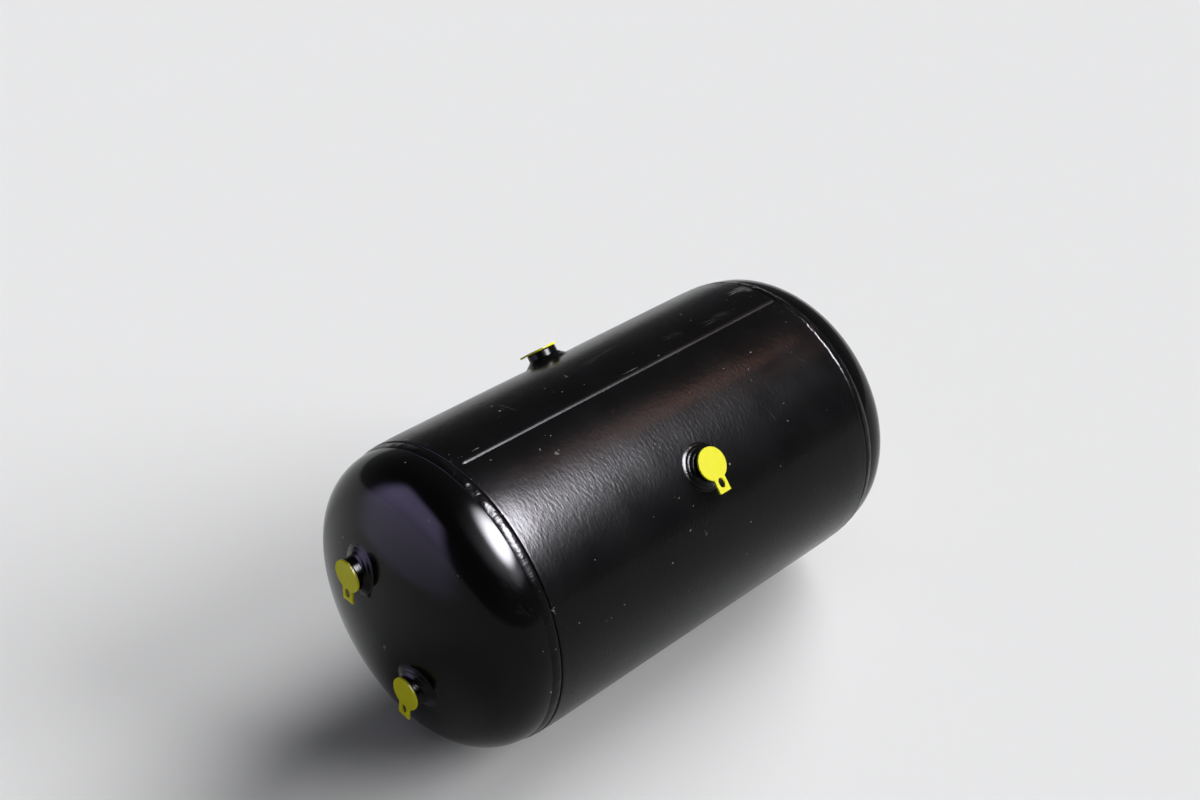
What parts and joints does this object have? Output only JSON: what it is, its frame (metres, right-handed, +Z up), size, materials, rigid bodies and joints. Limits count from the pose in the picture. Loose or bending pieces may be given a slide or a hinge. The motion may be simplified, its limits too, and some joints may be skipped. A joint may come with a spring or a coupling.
{
  "type": "horizontal compressed-air tank",
  "caption": "Welded steel air tank lying on its side: a rolled black shell with dished ends, a long seam, and screwed ports shut by yellow pull-off caps.",
  "frame": {"origin": "on the floor, under the middle of the shell, where the tank rests", "axes": "+X along the tank to its far end, -Y to the front with the side port, +Z up"},
  "size_m": [0.6106, 0.31, 0.31],
  "materials": {
    "black_paint": "gloss",
    "yellow_plastic": "satin"
  },
  "bodies": {
    "root": {"shell": "black_paint", "seam_weld": "black_paint", "near_head": "black_paint", "far_head": "black_paint", "near_girth_weld": "black_paint", "far_girth_weld": "black_paint", "side_port_boss": "black_paint", "side_port_weld": "black_paint", "side_port_cap": "yellow_plastic", "top_port_boss": "black_paint", "top_port_weld": "black_paint", "top_port_cap": "yellow_plastic", "near_upper_port_boss": "black_paint", "near_upper_port_weld": "black_paint", "near_upper_port_cap": "yellow_plastic", "near_lower_port_boss": "black_paint", "near_lower_port_weld": "black_paint", "near_lower_port_cap": "yellow_plastic", "far_upper_port_boss": "black_paint", "far_upper_port_weld": "black_paint", "far_upper_port_cap": "yellow_plastic", "far_lower_port_boss": "black_paint", "far_lower_port_weld": "black_paint", "far_lower_port_cap": "yellow_plastic"}
  },
  "joints": []
}
